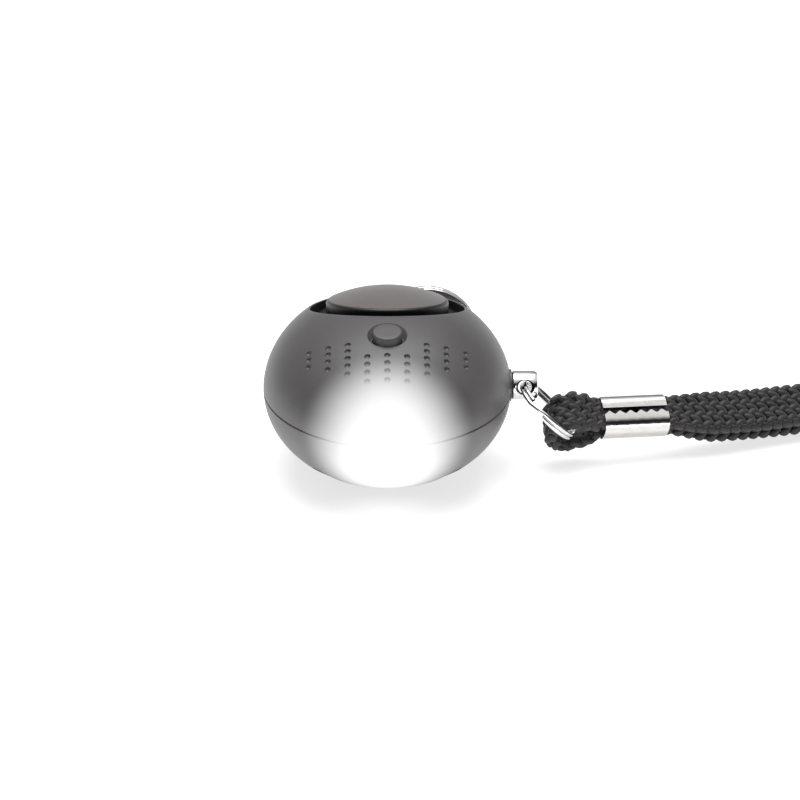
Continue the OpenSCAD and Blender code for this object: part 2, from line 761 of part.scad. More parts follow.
module wrist_loop() {
  route = smooth_route(loop_route, route_steps);
  last = len(route) - 1;
  widths = [for (i = [0 : last]) let (near = min(i, last - i) / gathered_steps)
    eye_w + (strap_w - eye_w) * min(1, near)];
  color("black") strap_sweep(route, widths, strap_t);
}

module at_crimp() { translate(crimp_start) rotate(crimp_turn) children(); }

// A flat bar with round corners, from the crimp's first end
module rounded_bar(w, t, r, l) {
  rotate([90, 0, 90]) linear_extrude(l) {
    square([w - 2 * r, t], center = true);
    square([w, t - 2 * r], center = true);
    for (x = [-1, 1]) for (y = [-1, 1]) translate([x * (w / 2 - r), y * (t / 2 - r)]) circle(r);
  }
}

// The strap's two strands, pressed together inside the crimp
module strap_neck() {
  inset = crimp_sheet + seat;
  color("black") at_crimp()
    rounded_bar(crimp_w - 2 * inset, crimp_t - 2 * inset, crimp_round - inset, crimp_l);
}

// Folded sheet whose edges meet in a toothed slit along the middle of the upper face
module strap_crimp() {
  slit_w = 0.9;
  tooth = 0.5;
  pitch = 1.8;
  slit_z = crimp_t / 2 - 2 * crimp_sheet;
  color("silver") at_crimp() difference() {
    rounded_bar(crimp_w, crimp_t, crimp_round, crimp_l);
    translate([-over, 0, 0]) rounded_bar(crimp_w - 2 * crimp_sheet, crimp_t - 2 * crimp_sheet,
      crimp_round - crimp_sheet, crimp_l + 2 * over);
    translate([-over, -slit_w / 2, slit_z]) cube([crimp_l + 2 * over, slit_w, far]);
    for (x = [pitch / 2 : pitch : crimp_l - pitch / 2])
      translate([x, slit_w / 2, slit_z]) rotate([0, 0, 45]) translate([-tooth, -tooth, 0])
        cube([2 * tooth, 2 * tooth, far]);
  }
}

top_shell();
bottom_shell();
sound_cap();
key_lug();
lamp_button();
switch_body();
switch_plunger();
lens();
reflector();
lamp_led();
pull_pin();
pin_tip();
pin_socket();
contact_leaf_upper();
contact_leaf_lower();
piezo_plate();
piezo_ceramic();
sounder_ring();
sounder_gasket();
circuit_board();
driver_chip();
step_up_coil();
cell_1();
cell_2();
cell_3();
cell_tray();
cell_plate();
cell_leaf();
sounder_leads();
cell_lead();
case_screws();
key_ring();
split_ring();
strap_eye();
strap_neck();
wrist_loop();
strap_crimp();
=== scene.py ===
# %% [markdown]
# # An egg shaped pocket alarm
# This lesson dresses a small safety alarm: a grey egg of moulded ABS with a sound cap, a lamp and its
# button, a pull pin on a split ring, a knitted wrist strap and a key ring.
# The construction is already there as a fixed frame, in metres. Each cell below makes the look of one
# piece and lays it exactly where the frame holds that piece.

# %% Load the frame
import math
import bmesh
import bpy
from mathutils import Matrix, Vector


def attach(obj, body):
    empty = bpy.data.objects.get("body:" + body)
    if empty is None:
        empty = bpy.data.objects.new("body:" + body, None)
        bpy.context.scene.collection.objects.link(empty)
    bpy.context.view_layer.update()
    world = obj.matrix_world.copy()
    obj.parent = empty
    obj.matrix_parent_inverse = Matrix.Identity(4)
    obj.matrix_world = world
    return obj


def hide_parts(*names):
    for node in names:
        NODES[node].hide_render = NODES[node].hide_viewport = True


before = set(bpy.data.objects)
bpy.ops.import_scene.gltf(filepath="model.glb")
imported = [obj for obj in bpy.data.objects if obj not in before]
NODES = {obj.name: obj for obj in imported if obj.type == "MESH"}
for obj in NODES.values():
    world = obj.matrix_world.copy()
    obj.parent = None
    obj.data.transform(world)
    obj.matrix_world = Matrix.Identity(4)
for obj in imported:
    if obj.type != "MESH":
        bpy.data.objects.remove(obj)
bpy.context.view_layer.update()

MM = 0.001

# %% [markdown]
# ## Small helpers
# Colours are written as sRGB hex values, the way a paint chart gives them, and one function makes them
# linear. Another adds one shader node with its settings and links, so that a material reads as a list.


# %% Helpers for colours, nodes and pieces
def linear(hex_colour):
    """Turns an sRGB hex value into linear red, green, blue and alpha."""
    parts = [int(hex_colour[i:i + 2], 16) / 255 for i in (1, 3, 5)]
    return [p / 12.92 if p <= 0.04045 else ((p + 0.055) / 1.055) ** 2.4 for p in parts] + [1.0]


def add(tree, kind, inputs=(), **settings):
    """Adds a node; inputs are pairs of a socket and the value or the output that feeds it."""
    made = tree.nodes.new(kind)
    for name, value in settings.items():
        setattr(made, name, value)
    for name, value in inputs:
        socket = made.inputs[name]
        if isinstance(value, bpy.types.NodeSocket):
            tree.links.new(value, socket)
        else:
            socket.default_value = value
    return made


def new_finish(name):
    """Starts a material and returns it with its node tree and its Principled shader."""
    material = bpy.data.materials.new(name)
    material.use_nodes = True
    tree = material.node_tree
    return material, tree, tree.nodes["Principled BSDF"]


def per_mm(size):
    """Scale of a texture whose cells are so many millimetres wide."""
    return 1 / (size * MM)


def wander(tree, place, grain, dark, light, end=0.7):
    """A noise with a grain in mm, and a colour that wanders with it between two tones."""
    noise = add(tree, "ShaderNodeTexNoise", [("Vector", place), ("Scale", per_mm(grain)), ("Detail", 3.0)])
    ramp = add(tree, "ShaderNodeValToRGB", [("Fac", noise.outputs["Fac"])])
    for stop, position, tone in zip(ramp.color_ramp.elements, (0.3, end), (dark, light)):
        stop.position = position
        stop.color = linear(tone)
    return noise.outputs["Fac"], ramp.outputs["Color"]


def add_piece(name, bm, material, body, slot, *nodes):
    """Makes an object of a bmesh, smooth shaded, hangs it on its body and hides the frame's nodes that it
    stands for.
    """
    mesh = bpy.data.meshes.new(name)
    bm.to_mesh(mesh)
    bm.free()
    mesh.shade_smooth()
    mesh.materials.append(material)
    piece = bpy.data.objects.new(name, mesh)
    bpy.context.scene.collection.objects.link(piece)
    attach(piece, body)
    if nodes:
        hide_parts(*nodes)
    print("made", name, len(mesh.polygons), "faces")
    return piece


# %% [markdown]
# ## Camera
# The photograph looks at the lamp end from about 22 degrees above, with a long lens. The frame's origin is
# under the widest section, so the camera aims at the parting line above it. A little lens shift puts the
# egg left of the middle, as the photograph does.

# %% Camera
PARTING = NODES["bottom_shell"].bound_box[1][2]
CAMERA_RISE = math.radians(21.9)
CAMERA_AWAY = 0.4
camera = bpy.data.objects.new("camera", bpy.data.cameras.new("camera"))
camera.data.sensor_width = 36
camera.data.lens = 111.8
camera.data.shift_x = 0.0159
camera.data.shift_y = -0.0185
camera.data.clip_start = 0.01
camera.location = (0, -CAMERA_AWAY * math.cos(CAMERA_RISE), PARTING + CAMERA_AWAY * math.sin(CAMERA_RISE))
camera.rotation_euler = (math.pi / 2 - CAMERA_RISE, 0, 0)
bpy.context.scene.collection.objects.link(camera)
bpy.context.scene.camera = camera
bpy.context.scene.view_settings.view_transform = "Standard"
print("camera aims at height", round(PARTING / MM, 2), "mm")

# %% [markdown]
# ## Shapes from a folded grid
# Most pieces here are a flat grid whose points are moved to their places: one way round the piece, the other
# way through its stations, such as floor, wall, rim and skin. Holes and dishes are then cut by Booleans, and
# edges over 30 degrees stay crisp.


# %% Helpers for folded grids and cuts
def fold_grid(columns, stations, place):
    """Rolls a grid into a shape; place gives the point, in mm, for a turn and a station."""
    bm = bmesh.new()
    bmesh.ops.create_grid(bm, x_segments=columns, y_segments=len(stations) - 1, size=0.5)
    for vert in bm.verts:
        turn = 2 * math.pi * (vert.co.x + 0.5)
        station = stations[round((vert.co.y + 0.5) * (len(stations) - 1))]
        vert.co = Vector(place(turn, station)) * MM
    bmesh.ops.remove_doubles(bm, verts=bm.verts, dist=0.002 * MM)
    bmesh.ops.recalc_face_normals(bm, faces=bm.faces)
    return bm


def lathe(columns, profile, start, axis):
    """Turns a profile of (radius, distance) points about an axis from a starting point, all in mm."""
    axis = Vector(axis).normalized()
    across = axis.orthogonal().normalized()
    other = axis.cross(across)

    def spot(turn, station):
        ring = across * math.cos(turn) + other * math.sin(turn)
        return Vector(start) + axis * station[1] + ring * station[0]

    return fold_grid(columns, profile, spot)


def rod(start, end, width, sides=32):
    """A plain round bar from one point to another, in mm."""
    way = Vector(end) - Vector(start)
    profile = [(0, 0), (width / 2, 0), (width / 2, way.length), (0, way.length)]
    return lathe(sides, profile, start, way)


def carve(piece, operation, *shapes):
    """Joins cutting shapes and applies them to a piece with one Boolean."""
    tool_bm = bmesh.new()
    for shape in shapes:
        scratch = bpy.data.meshes.new("scratch")
        shape.to_mesh(scratch)
        shape.free()
        tool_bm.from_mesh(scratch)
        bpy.data.meshes.remove(scratch)
    tool_mesh = bpy.data.meshes.new("tool")
    tool_bm.to_mesh(tool_mesh)
    tool_bm.free()
    tool = bpy.data.objects.new("tool", tool_mesh)
    bpy.context.scene.collection.objects.link(tool)
    cut = piece.modifiers.new("cut", "BOOLEAN")
    cut.operation = operation
    cut.solver = "EXACT"
    cut.object = tool
    seen = piece.evaluated_get(bpy.context.evaluated_depsgraph_get())
    old = piece.data
    piece.data = bpy.data.meshes.new_from_object(seen)
    piece.modifiers.clear()
    bpy.data.meshes.remove(old)
    bpy.data.objects.remove(tool)
    bpy.data.meshes.remove(tool_mesh)


def crisp(piece, degrees=30):
    """Smooth faces with sharp edges where the surface turns by more than an angle."""
    piece.data.shade_smooth()
    piece.data.set_sharp_from_angle(angle=math.radians(degrees))


# %% [markdown]
# ## The egg
# Both shells are half ellipsoids with one width, a short end at the lamp and a longer end at the key ring.
# The sizes come from the frame's boxes. The well cuts the crown away, so the crown's height is named here,
# and so are the wall, the well and the lid's gap in it.

# %% Sizes of the egg
def box_of(*names):
    """Lowest and highest corner, in mm, of the frame's nodes."""
    spots = [NODES[name].matrix_world @ Vector(c) / MM for name in names for c in NODES[name].bound_box]
    return [min(s[i] for s in spots) for i in range(3)], [max(s[i] for s in spots) for i in range(3)]


low, high = box_of("bottom_shell")
PART_Z = high[2]
HALF_W = high[0]
FRONT = -low[1]
BACK = high[1]
CROWN = 14.2
WALL = 1.6
WELL_W = 25.2
WELL_L = 29.4
WELL_Y = 9.6
WELL_FLOOR = 6.6
CAP_GAP = 2.6
ROUND_STEPS = 168


def outline(turn, inset=0.0):
    """Plan of the parting line, in mm, drawn in by an inset."""
    length = (BACK if math.sin(turn) > 0 else FRONT) - inset
    return (HALF_W - inset) * math.cos(turn), length * math.sin(turn)


def well(turn, spread=0.0):
    """Plan of the well's rim, in mm, spread outwards."""
    return (WELL_W / 2 + spread) * math.cos(turn), WELL_Y + (WELL_L / 2 + spread) * math.sin(turn)


def skin(x, y, inset=0.0):
    """Height of the egg's upper skin above the parting line."""
    length = (BACK if y > 0 else FRONT) - inset
    left = 1 - (x / (HALF_W - inset)) ** 2 - (y / length) ** 2
    return (CROWN - inset) * math.sqrt(max(left, 0.0))


print("egg is", round(2 * HALF_W, 1), "mm wide and", round(FRONT + BACK, 1), "mm long")

# %% [markdown]
# ## Grey ABS with a fine grain
# The case is moulded in dark grey ABS with a fine spark eroded grain. The lamp is on in the photograph and
# washes out everything near it, so the finish glows white close to the lamp and fades out over a few
# millimetres. The glow depends on the place alone, not on the camera. The ring gap round the sound cap is
# painted black as shade.

# %% Case finishes
# The wash of light is centred a little above the lamp, is full up to one distance and ends at another
GLOW_CENTRE = Vector((0, -FRONT, PART_Z + 0.9)) * MM
GLOW_FULL = 3.5
GLOW_NONE = 15.2
# Below the lamp the table throws the light back, so the wash reaches further there
GLOW_DOWN = 0.4


def abs_finish(name, dark, light, roughness, glow, shade_oval, shade_where):
    """Moulded ABS in a tone between two greys, with a grain, the lamp's wash of light and painted shade in
    the ring gap.
    """
    material, tree, plastic = new_finish(name)
    place = add(tree, "ShaderNodeTexCoord").outputs["Object"]
    colour = wander(tree, place, 9, dark, light)[1]
    # The real grain is about 0.05 mm; 0.25 mm is the finest that shows
    grain = add(tree, "ShaderNodeTexNoise", [("Vector", place), ("Scale", per_mm(0.25)), ("Detail", 2.0)])
    bump = add(
        tree, "ShaderNodeBump",
        [("Height", grain.outputs["Fac"]), ("Distance", 0.02 * MM), ("Strength", 0.5)])
    # The ring gap is painted as shade: black in the shell's well, inside its oval, and on the lid's side,
    # outside its face
    middle = Vector((0, WELL_Y, 0)) * MM
    size = Vector((2 / shade_oval[0], 2 / shade_oval[1], 0)) / MM
    from_middle = add(tree, "ShaderNodeVectorMath", [(0, place), (1, middle)], operation="SUBTRACT")
    oval = add(
        tree, "ShaderNodeVectorMath", [(0, from_middle.outputs["Vector"]), (1, size)], operation="MULTIPLY")
    out = add(tree, "ShaderNodeVectorMath", [(0, oval.outputs["Vector"])], operation="LENGTH")
    painted_shade = add(tree, "ShaderNodeMath", [(0, out.outputs["Value"]), (1, 1.0)], operation=shade_where)
    colour_with_shade = add(
        tree, "ShaderNodeMixRGB",
        [("Fac", painted_shade.outputs[0]), ("Color1", colour), ("Color2", linear("#0c0c0c"))])
    tree.links.new(colour_with_shade.outputs["Color"], plastic.inputs["Base Color"])
    tree.links.new(bump.outputs["Normal"], plastic.inputs["Normal"])
    plastic.inputs["Roughness"].default_value = roughness
    if glow:
        offset = add(tree, "ShaderNodeVectorMath", [(0, place), (1, GLOW_CENTRE)], operation="SUBTRACT")
        part = add(tree, "ShaderNodeSeparateXYZ", [("Vector", offset.outputs["Vector"])]).outputs
        short = add(tree, "ShaderNodeMath", [(0, part["Z"]), (1, GLOW_DOWN)], operation="MULTIPLY")
        height = add(tree, "ShaderNodeMath", [(0, part["Z"]), (1, short.outputs[0])], operation="MAXIMUM")
        reach = add(
            tree, "ShaderNodeCombineXYZ", [("X", part["X"]), ("Y", part["Y"]), ("Z", height.outputs[0])])
        away = add(tree, "ShaderNodeVectorMath", [(0, reach.outputs["Vector"])], operation="LENGTH")
        wash = add(
            tree, "ShaderNodeMapRange",
            [("Value", away.outputs["Value"]), ("From Min", GLOW_FULL * MM), ("From Max", GLOW_NONE * MM),
             ("To Min", 1.0), ("To Max", 0.0)], interpolation_type="SMOOTHSTEP")
        plastic.inputs["Emission Color"].default_value = linear("#ffffff")
        tree.links.new(wash.outputs["Result"], plastic.inputs["Emission Strength"])
    return material


# Painted shade: the shell is black inside the well's oval, and the lid is black over its outer 0.5 mm, its
# side and rounded rim
SHADE_EDGE = 0.5
WELL_SHADE_OVAL = (WELL_W + 0.05, WELL_L + 0.05)
CAP_SHADE_OVAL = (WELL_W - 2 * (CAP_GAP + SHADE_EDGE), WELL_L - 2 * (CAP_GAP + SHADE_EDGE))
CASE_GREY = abs_finish("case_grey_abs", "#484647", "#4e4c4d", 0.42, True, WELL_SHADE_OVAL, "LESS_THAN")
CAP_GREY = abs_finish("cap_grey_abs", "#5f5a58", "#66605e", 0.42, False, CAP_SHADE_OVAL, "GREATER_THAN")
print("finishes:", CASE_GREY.name, CAP_GREY.name)

# %% [markdown]
# ## Top shell
# One grid runs from the middle of the well's floor up its wall, over the rounded rim, down the egg's skin to
# the parting line, and back inside. A small lip on both shells makes the thin dark seam between them.

# %% Top shell grid
SKIN_ROWS = 32
RIM = 0.5
LIP = 0.18
WELL_WALL = 1.4


def top_point(turn, station):
    """Places one point of the top shell."""
    part, share = station
    if part == "floor":
        x, y = well(turn)
        x, y = x * share, WELL_Y + (y - WELL_Y) * share
        z = WELL_FLOOR
    elif part == "wall":
        x, y = well(turn)
        z = WELL_FLOOR + (skin(x, y) - RIM - WELL_FLOOR) * share
    elif part == "rim":
        x, y = well(turn, RIM * (1 - math.cos(share * math.pi / 2)))
        z = skin(x, y) - RIM * (1 - math.sin(share * math.pi / 2))
    elif part == "skin":
        near = well(turn, RIM)
        rest = outline(turn)
        reach = math.sin(share * math.pi / 2)
        x, y = (a + (b - a) * reach for a, b in zip(near, rest))
        z = max(skin(x, y), LIP)
    elif part == "lip":
        x, y = outline(turn, share)
        z = 0.0
    elif part == "inside":
        near = well(turn, WELL_WALL)
        rest = outline(turn, WALL)
        reach = math.cos(share * math.pi / 2)
        x, y = (a + (b - a) * reach for a, b in zip(near, rest))
        z = skin(x, y, WALL)
    else:
        x, y = well(turn, WELL_WALL)
        x, y = x * share, WELL_Y + (y - WELL_Y) * share
        z = WELL_FLOOR - WELL_WALL
    return x, y, z + PART_Z


TOP_STATIONS = [("floor", 0.0), ("floor", 0.5), ("floor", 0.98), ("wall", 0.04)]
TOP_STATIONS += [("wall", 0.5), ("wall", 1.0), ("rim", 0.25), ("rim", 0.5), ("rim", 0.75)]
TOP_STATIONS += [("skin", i / SKIN_ROWS) for i in range(SKIN_ROWS + 1)]
TOP_STATIONS += [("lip", LIP), ("lip", WALL)]
TOP_STATIONS += [("inside", i / 8) for i in range(1, 9)] + [("under", 1.0), ("under", 0.5), ("under", 0.0)]
top_bm = fold_grid(ROUND_STEPS, TOP_STATIONS, top_point)
TOP = add_piece("top_shell_skin", top_bm, CASE_GREY, "case", "shell_grey", "top_shell")

# %% [markdown]
# Everything that opens the top shell is cut next: the sound port, the button's hole and its dish, the rows of
# small blind dimples beside the lamp, and the openings that it shares with the bottom shell.

# %% Cuts in the top shell
BUTTON_D = 4.5
BUTTON_Y = 11.5
DISH_TOP = 8.6
DISH_LOW = 5.3
DISH_DEPTH = 0.7
LENS_D = 8.8
LENS_ROOM = 0.2
# The hole for the socket's round nose is this much narrower than the socket's square back
NOSE_D = 2 * box_of("pin_socket")[1][1] - 0.6
PORT_D = 13
LUG_SLOT = (9.2, 20)
LUG_TOP = box_of("key_lug")[1][2]
LUG_ROOM = 0.2


def ball(centre, radius):
    """A round cutter, in mm."""
    bm = bmesh.new()
    bmesh.ops.create_uvsphere(bm, u_segments=16, v_segments=12, radius=radius * MM)
    bm.transform(Matrix.Translation(Vector(centre) * MM))
    return bm


def shared_cuts():
    """Openings for the lens and for the nose of the pin's socket, on the parting line."""
    lens_hole = rod((0, -FRONT - 2, PART_Z), (0, -FRONT + 6, PART_Z), LENS_D + LENS_ROOM, 64)
    nose_hole = rod((HALF_W - 5, 0, PART_Z), (HALF_W + 3, 0, PART_Z), NOSE_D, 48)
    return lens_hole, nose_hole


# For each column, counted from the middle: how many dimples, and how far in front the first one is
DIMPLE_COLUMNS = [(4, 15.6), (4, 15.6), (5, 12.3), (4, 11.6), (3, 10.5)]
DIMPLE_APART = 3.08
DIMPLE_STEP = 1.42
DIMPLE_R = 0.55
DIMPLE_LIFT = 0.2
dimples = []
for column in range(-4, 5):
    count, first = DIMPLE_COLUMNS[abs(column)]
    for i in range(count):
        x = column * DIMPLE_APART
        y = -first - i * DIMPLE_STEP
        dimples.append(ball((x, y, PART_Z + skin(x, y) + DIMPLE_LIFT), DIMPLE_R))
button_height = PART_Z + skin(0, -BUTTON_Y)
button_hole = rod((0, -BUTTON_Y, PART_Z + 5), (0, -BUTTON_Y, PART_Z + 20), BUTTON_D + 0.3, 48)
dish_profile = [(0, 0), (DISH_LOW / 2, 0), (DISH_TOP / 2, 3 * DISH_DEPTH), (0, 3 * DISH_DEPTH)]
dish = lathe(64, dish_profile, (0, -BUTTON_Y, button_height - DISH_DEPTH), (0, 0, 1))
port = rod((0, WELL_Y, PART_Z + 2), (0, WELL_Y, PART_Z + 9), PORT_D, 48)
slot_bm = bmesh.new()
bmesh.ops.create_cube(slot_bm, size=MM)
slot_bm.transform(Matrix.Diagonal((*LUG_SLOT, 2 * (LUG_TOP - PART_Z) + LUG_ROOM, 1)))
slot_bm.transform(Matrix.Translation(Vector((0, BACK + 5, PART_Z)) * MM))
carve(TOP, "DIFFERENCE", dish, port, slot_bm, *shared_cuts())
carve(TOP, "DIFFERENCE", button_hole)
carve(TOP, "DIFFERENCE", *dimples)
crisp(TOP)
print("top shell has", len(dimples), "dimples and", len(TOP.data.polygons), "faces")

# %% [markdown]
# ## Bottom shell
# The lower half is the same egg, cut flat for the foot. Four screws close the case from below, deep in their
# bosses.

# %% Bottom shell
FOOT_TURN = math.asin(PART_Z / CROWN)
SCREWS = [(side * x, y) for x, y in ((9.6, -14.2), (13, 12.2)) for side in (-1, 1)]
BOSS_D = 6
BOSS_DROP = 0.2
SCREW_HOLE = 4.2
SCREW_SEAT = PART_Z - 3


def bottom_point(turn, station):
    """Places one point of the bottom shell."""
    part, share = station
    if part == "skin":
        x, y = (p * math.cos(share * FOOT_TURN) for p in outline(turn))
        z = min(-CROWN * math.sin(share * FOOT_TURN), -LIP)
    elif part == "foot":
        x, y = (p * math.cos(FOOT_TURN) * share for p in outline(turn))
        z = -PART_Z
    elif part == "lip":
        x, y = outline(turn, share)
        z = 0.0
    else:
        x, y = (p * math.cos(share * math.pi / 2) for p in outline(turn, WALL))
        z = -(CROWN - WALL) * math.sin(share * math.pi / 2)
    return x, y, z + PART_Z


BOTTOM_STATIONS = [("foot", 0.0), ("foot", 0.6), ("foot", 0.97)]
BOTTOM_STATIONS += [("skin", 1 - i / 24) for i in range(25)]
BOTTOM_STATIONS += [("lip", LIP), ("lip", WALL)] + [("inside", i / 10) for i in range(1, 11)]
bottom_bm = fold_grid(ROUND_STEPS, BOTTOM_STATIONS, bottom_point)
BOTTOM = add_piece("bottom_shell_skin", bottom_bm, CASE_GREY, "case", "shell_grey", "bottom_shell")


def boss(x, y):
    """A screw boss whose lower end follows the egg, inside its wall."""
    def spot(turn, station):
        away, drop = station
        u = x + away * math.cos(turn)
        v = y + away * math.sin(turn)
        return u, v, PART_Z - (skin(u, v) - WALL / 2 if drop is None else drop)

    radius = BOSS_D / 2
    return fold_grid(
        32, [(0, None), (radius / 2, None), (radius, None), (radius, BOSS_DROP), (0, BOSS_DROP)], spot)


carve(BOTTOM, "UNION", *[boss(x, y) for x, y in SCREWS])
heads = [rod((x, y, -1), (x, y, SCREW_SEAT), SCREW_HOLE) for x, y in SCREWS]
carve(BOTTOM, "DIFFERENCE", *heads, *shared_cuts())
crisp(BOTTOM)

# %% [markdown]
# ## Sound cap
# The oval lid stands in the well with a ring gap all round. Its face follows the egg a little below its line,
# and its rim is rounded.

# %% Sound cap
CAP_PROUD = -0.3
CAP_RIM = 0.45
CAP_LOW = WELL_FLOOR + 0.8


def cap_point(turn, station):
    """Places one point of the sound cap."""
    part, share = station
    if part == "rim":
        x, y = well(turn, -CAP_GAP - CAP_RIM * (1 - math.cos(share * math.pi / 2)))
        z = skin(x, y, -CAP_PROUD) - CAP_RIM * (1 - math.sin(share * math.pi / 2))
    elif part == "face":
        x, y = well(turn, -CAP_GAP - CAP_RIM)
        x, y = x * share, WELL_Y + (y - WELL_Y) * share
        z = skin(x, y, -CAP_PROUD)
    else:
        x, y = well(turn, -CAP_GAP)
        x, y = x * share, WELL_Y + (y - WELL_Y) * share
        z = CAP_LOW
    return x, y, z + PART_Z


CAP_STATIONS = [("under", 0.0), ("under", 0.5), ("under", 0.98), ("under", 1.0)]
CAP_STATIONS += [("rim", i / 5) for i in range(5)] + [("face", 1 - i / 14) for i in range(15)]
cap_bm = fold_grid(144, CAP_STATIONS, cap_point)
CAP = add_piece("sound_cap_skin", cap_bm, CAP_GREY, "case", "cap_grey", "sound_cap")
crisp(CAP)

# %% [markdown]
# ## Button and lamp
# The button is a short grey peg with a sloped face and a rounded edge. The lamp is a clear domed lens in
# front of a bright cup and a white diode, which is on.

# %% Lamp button
BUTTON_PROUD = 0.95
BUTTON_FACE = skin(0, -BUTTON_Y) + BUTTON_PROUD
BUTTON_SLOPE = math.tan(math.radians(12))
BUTTON_LOW = 10
BUTTON_EDGE = 0.2


def button_point(turn, station):
    """Places one point of the button: its face slopes down to the front."""
    radius, drop = station
    x = radius * math.cos(turn)
    y = radius * math.sin(turn)
    z = BUTTON_LOW if drop is None else BUTTON_FACE + y * BUTTON_SLOPE - drop
    return x, y - BUTTON_Y, z + PART_Z


BUTTON_R = BUTTON_D / 2
BUTTON_STATIONS = [(0, None), (BUTTON_R, None), (BUTTON_R, 2 * BUTTON_EDGE)]
for i in range(5):
    bend = i / 4 * math.pi / 2
    edge_x = BUTTON_R - BUTTON_EDGE * (1 - math.cos(bend))
    BUTTON_STATIONS.append((edge_x, BUTTON_EDGE * (1 - math.sin(bend))))
BUTTON_STATIONS += [(BUTTON_R * 0.5, 0.0), (0, 0.0)]
button_bm = fold_grid(64, BUTTON_STATIONS, button_point)
BUTTON = add_piece("lamp_button_skin", button_bm, CASE_GREY, "button", "shell_grey", "lamp_button")
crisp(BUTTON)

# %% Lens and lamp
LENS_CROWN = 1.1
low, high = box_of("lens")
LENS_TOP = -low[1]
LENS_BACK = -high[1]
FLANGE_R = high[0]
FLANGE_T = 0.8
CROWN_R = ((LENS_D / 2) ** 2 + LENS_CROWN ** 2) / (2 * LENS_CROWN)
lens_profile = [(0, LENS_BACK), (FLANGE_R, LENS_BACK), (FLANGE_R, LENS_BACK + FLANGE_T)]
lens_profile += [(LENS_D / 2, LENS_BACK + FLANGE_T)]
for i in range(9):
    radius = LENS_D / 2 * (1 - i / 8)
    lens_profile.append((radius, LENS_TOP - CROWN_R + math.sqrt(CROWN_R ** 2 - radius ** 2)))
lens_bm = lathe(64, lens_profile, (0, 0, PART_Z), (0, -1, 0))
# Clear moulded polycarbonate: glassy, with a slight haze that breaks up the view of the cup behind it
LENS_CLEAR, tree, clear = new_finish("clear_polycarbonate")
place = add(tree, "ShaderNodeTexCoord").outputs["Object"]
haze = add(tree, "ShaderNodeTexNoise", [("Vector", place), ("Scale", per_mm(1.5)), ("Detail", 2.0)])
frost = add(tree, "ShaderNodeMapRange", [("Value", haze.outputs["Fac"]), ("To Min", 0.03), ("To Max", 0.12)])
tree.links.new(frost.outputs["Result"], clear.inputs["Roughness"])
clear.inputs["Base Color"].default_value = linear("#ffffff")
clear.inputs["Transmission Weight"].default_value = 1.0
clear.inputs["IOR"].default_value = 1.58
# The lens carries some of the lamp's light across its whole face
clear.inputs["Emission Color"].default_value = linear("#ffffff")
clear.inputs["Emission Strength"].default_value = 0.75
LENS = add_piece("lens_dome", lens_bm, LENS_CLEAR, "case", "lens_clear", "lens")
crisp(LENS)

# %% [markdown]
# ## Metal finishes
# The pin, its rings and the reflector are chromed, and the crimp is folded from nickel plated sheet with fine
# rolling marks. Both need something dark to mirror, which the tent's open front gives them.


# %% Metal finishes
def metal_finish(name, dark, light, roughness, marks, stretch):
    """Bright metal with fine marks that are stretched along one way."""
    material, tree, metal = new_finish(name)
    place = add(tree, "ShaderNodeTexCoord").outputs["Object"]
    drawn = add(tree, "ShaderNodeMapping", [("Vector", place), ("Scale", stretch)])
    lines, colour = wander(tree, drawn.outputs["Vector"], marks, dark, light)
    rough = add(
        tree, "ShaderNodeMapRange",
        [("Value", lines), ("To Min", roughness * 0.7), ("To Max", roughness * 1.3)])
    tree.links.new(colour, metal.inputs["Base Color"])
    tree.links.new(rough.outputs["Result"], metal.inputs["Roughness"])
    metal.inputs["Metallic"].default_value = 1.0
    return material


CHROME = metal_finish("chrome_plating", "#c8c8ca", "#dededf", 0.1, 1.5, (1, 1, 1))
NICKEL = metal_finish("nickel_sheet", "#cdcac7", "#d9d7d4", 0.13, 0.6, (0.15, 1, 1))
print("finishes:", CHROME.name, NICKEL.name)

# %% [markdown]
# ## Pull pin
# The pin is turned: a shaft that goes into the case and a barrel head with chamfered ends. A countersunk hole
# goes across the head for the split ring.

# %% Pull pin
low, high = box_of("pull_pin")
PIN_END = high[0]
PIN_START = low[0]
PIN_HEAD = HALF_W
PIN_HEAD_R = high[1]
PIN_R = 1.5
CHAMFER = 0.35
CROSS_X = PIN_HEAD + 2.15
CROSS_TILT = math.radians(12)
CROSS_HOLE = 2.2
CROSS_REACH = 5
SINK_DEEP = 0.6
SINK_WIDER = 0.9
TIP_BEVEL = 0.2
# The outer end is rounded, with one point half way round
END_ROUND = 0.6
END_HALF = 0.18
neck = PIN_HEAD - PIN_START
length = PIN_END - PIN_START
pin_profile = [(0, 0), (PIN_R - TIP_BEVEL, 0), (PIN_R, TIP_BEVEL), (PIN_R, neck)]
pin_profile += [(PIN_HEAD_R - CHAMFER, neck), (PIN_HEAD_R, neck + CHAMFER)]
pin_profile += [(PIN_HEAD_R, length - END_ROUND), (PIN_HEAD_R - END_HALF, length - END_HALF)]
pin_profile += [(PIN_HEAD_R - END_ROUND, length), (0, length)]
pin_bm = lathe(64, pin_profile, (PIN_START, 0, PART_Z), (1, 0, 0))
PIN = add_piece("pull_pin_turned", pin_bm, CHROME, "pin", "bright_plating", "pull_pin")
cross_way = Vector((0, -math.cos(CROSS_TILT), math.sin(CROSS_TILT)))
cross_spot = Vector((CROSS_X, 0, PART_Z))
cross_reach = cross_way * CROSS_REACH
carve(PIN, "DIFFERENCE", rod(cross_spot - cross_reach, cross_spot + cross_reach, CROSS_HOLE))
sink_r = CROSS_HOLE / 2
sink = [(0, -SINK_DEEP), (sink_r, -SINK_DEEP), (sink_r + SINK_WIDER, SINK_DEEP), (0, SINK_DEEP)]
ends = [cross_way * side for side in (-1, 1)]
carve(PIN, "DIFFERENCE", *[lathe(32, sink, cross_spot + end * PIN_HEAD_R, end) for end in ends])
crisp(PIN)

# %% [markdown]
# ## Rings
# A split ring is two turns of one wire. The turns lie side by side, the wire steps from one to the other in a
# short stretch, and its two ends lie on either side of that step.


